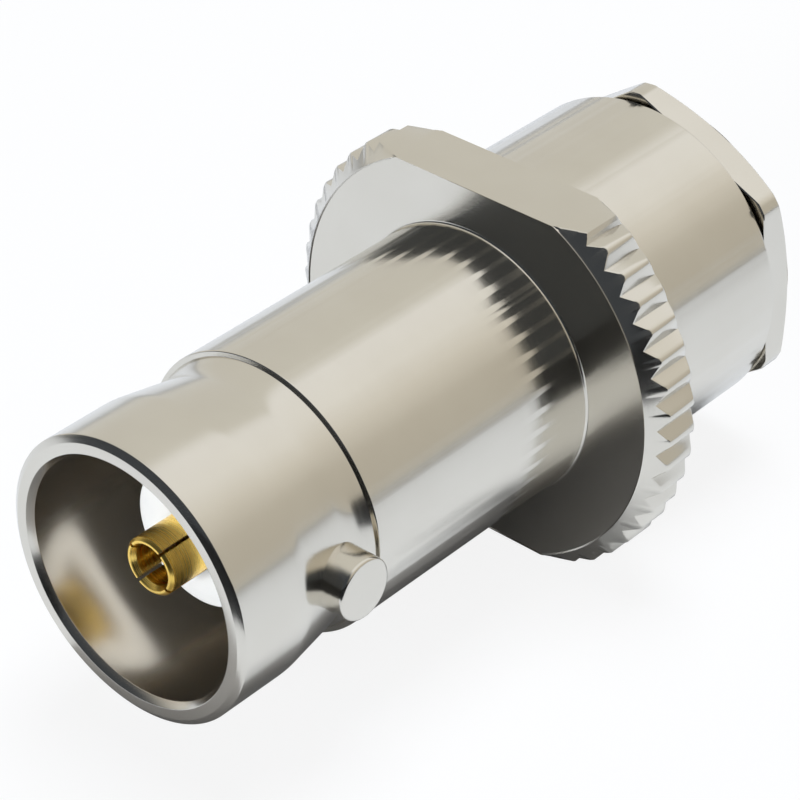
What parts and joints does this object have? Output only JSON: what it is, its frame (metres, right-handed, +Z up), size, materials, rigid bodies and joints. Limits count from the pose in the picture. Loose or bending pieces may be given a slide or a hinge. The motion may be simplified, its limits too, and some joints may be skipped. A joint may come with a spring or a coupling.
{
  "type": "bnc cable jack",
  "caption": "Bayonet coaxial cable jack: stepped sleeve with side studs and slotted socket contact, knurled flange with wrench flats, and hexagon clamp nut.",
  "frame": {"origin": "below the middle of the jack's length, on the plane of the lower wrench flat", "axes": "+Y along the connector's axis from the mouth to the cable end, +Z up through the wrench flats, +X along one bayonet stud"},
  "size_m": [0.0156, 0.026, 0.0127],
  "materials": {
    "nickel_plate": "bright nickel plate over turned brass",
    "gold_plate": "gold plate over turned brass",
    "insulator": "white fluoropolymer, machined",
    "plain_brass": "turned brass, left bare",
    "silicone": "moulded silicone rubber"
  },
  "bodies": {
    "jack": {"jack_body": "nickel_plate", "front_insulator": "insulator", "socket_contact": "gold_plate", "rear_insulator": "insulator", "braid_clamp": "plain_brass", "gasket": "silicone"},
    "washer": {"slip_washer": "plain_brass"},
    "nut": {"clamp_nut": "nickel_plate"}
  },
  "joints": [
    {"name": "nut_travel", "type": "slide", "parent": "jack", "child": "washer", "axis": [0, 1, 0], "range_m": [0, 0.00317]},
    {"name": "nut_turn", "type": "hinge", "parent": "washer", "child": "nut", "pos_m": [0, 0.0096, 0.00636], "axis": [0, 1, 0], "range_deg": [0, 1440]}
  ],
  "couplings": [
    {"joint": "nut_turn", "follows": "nut_travel", "rad_per_m": 7915.8}
  ]
}
